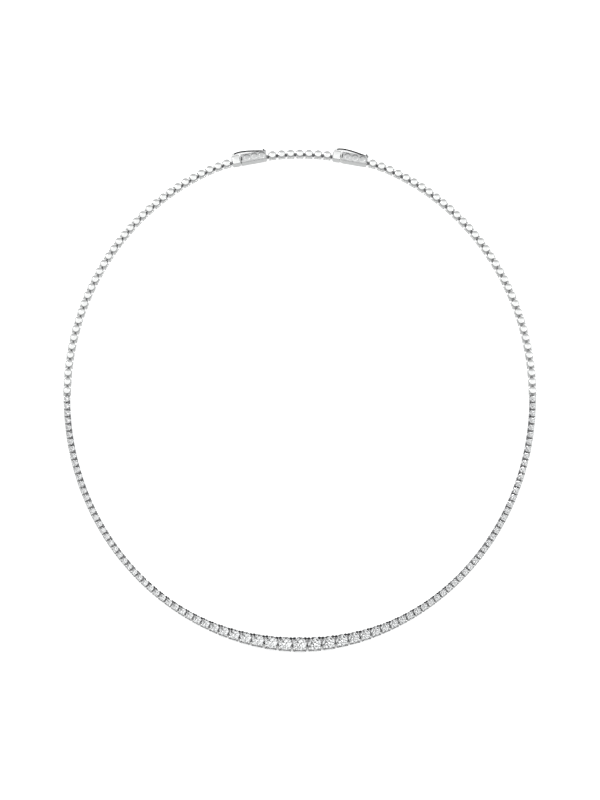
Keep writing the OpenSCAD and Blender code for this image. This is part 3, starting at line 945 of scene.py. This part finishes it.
scene = bpy.context.scene
world = bpy.data.worlds.new("studio")
scene.world = world
world.use_nodes = True
sky = world.node_tree
background = sky.nodes["Background"]
direction = sky.nodes.new("ShaderNodeTexCoord").outputs["Generated"]
split = sky.nodes.new("ShaderNodeSeparateXYZ")
sky.links.new(direction, split.inputs["Vector"])


def grey_ramp(tree, value, stops):
    """Colour ramp of greys at given positions from 0 to 1."""
    node = tree.nodes.new("ShaderNodeValToRGB")
    ramp = node.color_ramp
    for position, _ in stops[2:]:
        ramp.elements.new(position)
    for element, (position, grey) in zip(ramp.elements, stops):
        element.position = position
        element.color = (0.993 * grey, grey, min(1, 1.004 * grey), 1)
    tree.links.new(value, node.inputs["Fac"])
    return node.outputs["Color"]


def sky_mix(first, second, factor=1.0, blend="MULTIPLY"):
    node = sky.nodes.new("ShaderNodeMix")
    node.data_type = "RGBA"
    node.blend_type = blend
    for value, socket in ((first, "A"), (second, "B"), (factor, "Factor")):
        if isinstance(value, (float, tuple)):
            node.inputs[socket].default_value = value
        else:
            sky.links.new(value, node.inputs[socket])
    return node.outputs["Result"]


def round_patch(azimuth, elevation, full, edge, grey):
    """Grey round of the sky, whole to an angle of full and faded out at edge; azimuth 0 is -y."""
    node = sky.nodes.new("ShaderNodeVectorMath")
    node.operation = "DOT_PRODUCT"
    sky.links.new(direction, node.inputs[0])
    turn, rise = math.radians(azimuth), math.radians(elevation)
    node.inputs[1].default_value = (
        math.cos(rise) * math.sin(turn), -math.cos(rise) * math.cos(turn), math.sin(rise))
    inside = ranged(sky, node.outputs["Value"], math.cos(math.radians(edge)),
                    math.cos(math.radians(full)), 0, 1)
    return grey_ramp(sky, inside, [(0.0, 1.0), (1.0, grey)])


SPARKLE = (1.26, 1.25, 1.25, 1.0)
# Brightness by the sine of the elevation, from straight down to straight up
level = ranged(sky, split.outputs["Z"], -1, 1, 0, 1)
levels = grey_ramp(sky, level, [
    (0.0, 0.6), (0.25, 0.5), (0.37, 0.42), (0.43, 0.1), (0.52, 0.1), (0.6, 0.7), (0.7, 0.85),
    (0.86, 1.0)])
# Grey wall behind the necklace, and the camera's stand, which brilliants mirror as arrows
back_wall = round_patch(180, 10, full=40, edge=55, grey=0.55)
stand = round_patch(0, CAMERA_ELEVATION, full=7, edge=12, grey=0.1)
calm_sky = sky_mix(levels, back_wall)
patches = grey_ramp(sky, noise(sky, 2.6, 1, direction), [(0.45, 0.0), (0.5, 1.0)])
sparkle_sky = sky_mix(sky_mix(sky_mix(levels, patches), stand), SPARKLE)
ray = sky.nodes.new("ShaderNodeLightPath").outputs["Is Transmission Ray"]
sky.links.new(sky_mix(calm_sky, sparkle_sky, ray, "MIX"), background.inputs["Color"])
background.inputs["Strength"].default_value = 1.1


def area_light(name, location, size, power):
    data = bpy.data.lights.new(name, "AREA")
    data.shape = "SQUARE"
    data.size = size
    data.energy = power
    obj = bpy.data.objects.new(name, data)
    obj.location = location
    aim = Vector((0, 0, 0)) - Vector(location)
    obj.rotation_euler = aim.to_track_quat("-Z", "Y").to_euler()
    scene.collection.objects.link(obj)
    return obj


glints = (("glint_left", (-0.4, 0.35, 0.8)), ("glint_right", (0.5, 0.1, 0.9)))
for name, location in glints:
    area_light(name, location, size=0.08, power=0.35)
# Lights the paper alone, so that it stays white
paper_light = area_light("paper_light", (0, 0, 1.4), size=1, power=16)
paper_light.visible_glossy = False
paper_light.visible_transmission = False

camera = bpy.data.objects.new("camera", bpy.data.cameras.new("camera"))
scene.collection.objects.link(camera)
camera.data.lens = LENS_MM
camera.data.sensor_width = SENSOR_MM
camera.data.clip_start = 0.01
tilt = math.radians(CAMERA_ELEVATION)
target = (Vector(CAMERA_TARGET) + Vector((0, loop.shift, 0))) * MM
camera.location = target + Vector((0, -math.cos(tilt), math.sin(tilt))) * CAMERA_FAR * MM
camera.rotation_euler = (math.pi / 2 - tilt, 0, 0)
scene.camera = camera
scene.view_settings.view_transform = "Standard"
